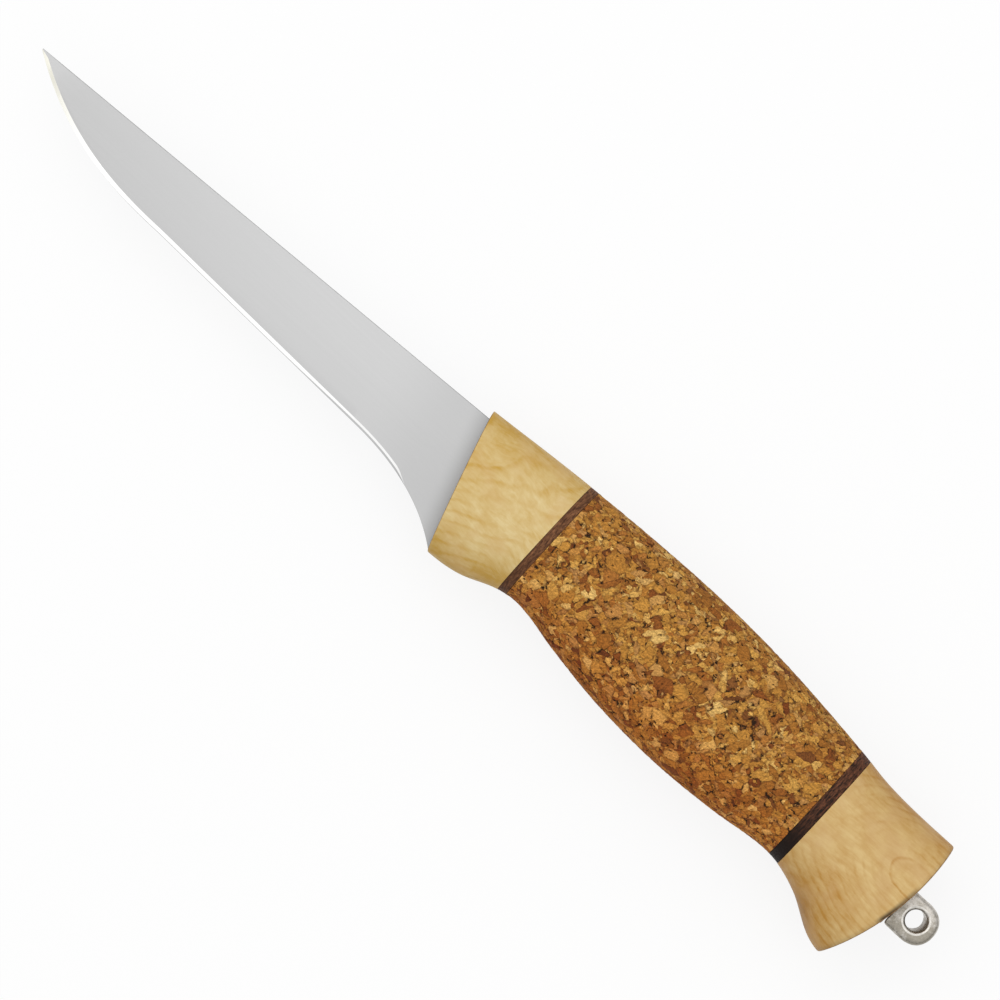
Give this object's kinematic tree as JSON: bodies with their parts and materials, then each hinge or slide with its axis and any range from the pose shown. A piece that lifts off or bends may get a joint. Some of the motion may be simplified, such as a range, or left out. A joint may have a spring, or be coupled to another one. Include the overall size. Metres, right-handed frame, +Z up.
{
  "type": "fishing knife",
  "caption": "Fixed-blade fishing knife: narrow steel blade on a stick tang, stacked birch, leather and cork handle, and a lanyard eye that screws on at the butt.",
  "frame": {"origin": "bottom centre of the box round the knife as it lies on its side", "axes": "+X along the knife from tip to butt, +Y from the cutting edge to the spine, +Z up, across the thickness of the blade and handle"},
  "size_m": [0.239, 0.0368, 0.0246],
  "materials": {
    "blade_steel": "satin",
    "stud_steel": "satin",
    "epoxy": "gloss",
    "ferrule_birch": "satin",
    "front_leather": "matte",
    "cork": "matte",
    "rear_leather": "matte",
    "pommel_birch": "satin",
    "washer_steel": "satin",
    "eye_steel": "satin"
  },
  "bodies": {
    "knife": {"blade": "blade_steel", "tang_stud": "stud_steel", "tang_adhesive": "epoxy", "front_ferrule": "ferrule_birch", "front_spacer": "front_leather", "cork_grip": "cork", "rear_spacer": "rear_leather", "pommel": "pommel_birch"},
    "washer": {"butt_washer": "washer_steel"},
    "eye": {"eye_nut": "eye_steel"}
  },
  "joints": [
    {"name": "eye_advance", "type": "slide", "parent": "knife", "child": "washer", "axis": [1, 0, 0], "range_m": [0, 0.00438]},
    {"name": "eye_turn", "type": "hinge", "parent": "washer", "child": "eye", "pos_m": [0.11, -0.00166, 0.0123], "axis": [1, 0, 0], "range_deg": [0, 2250.5]}
  ],
  "couplings": [
    {"joint": "eye_turn", "follows": "eye_advance", "rad_per_m": 8976}
  ]
}
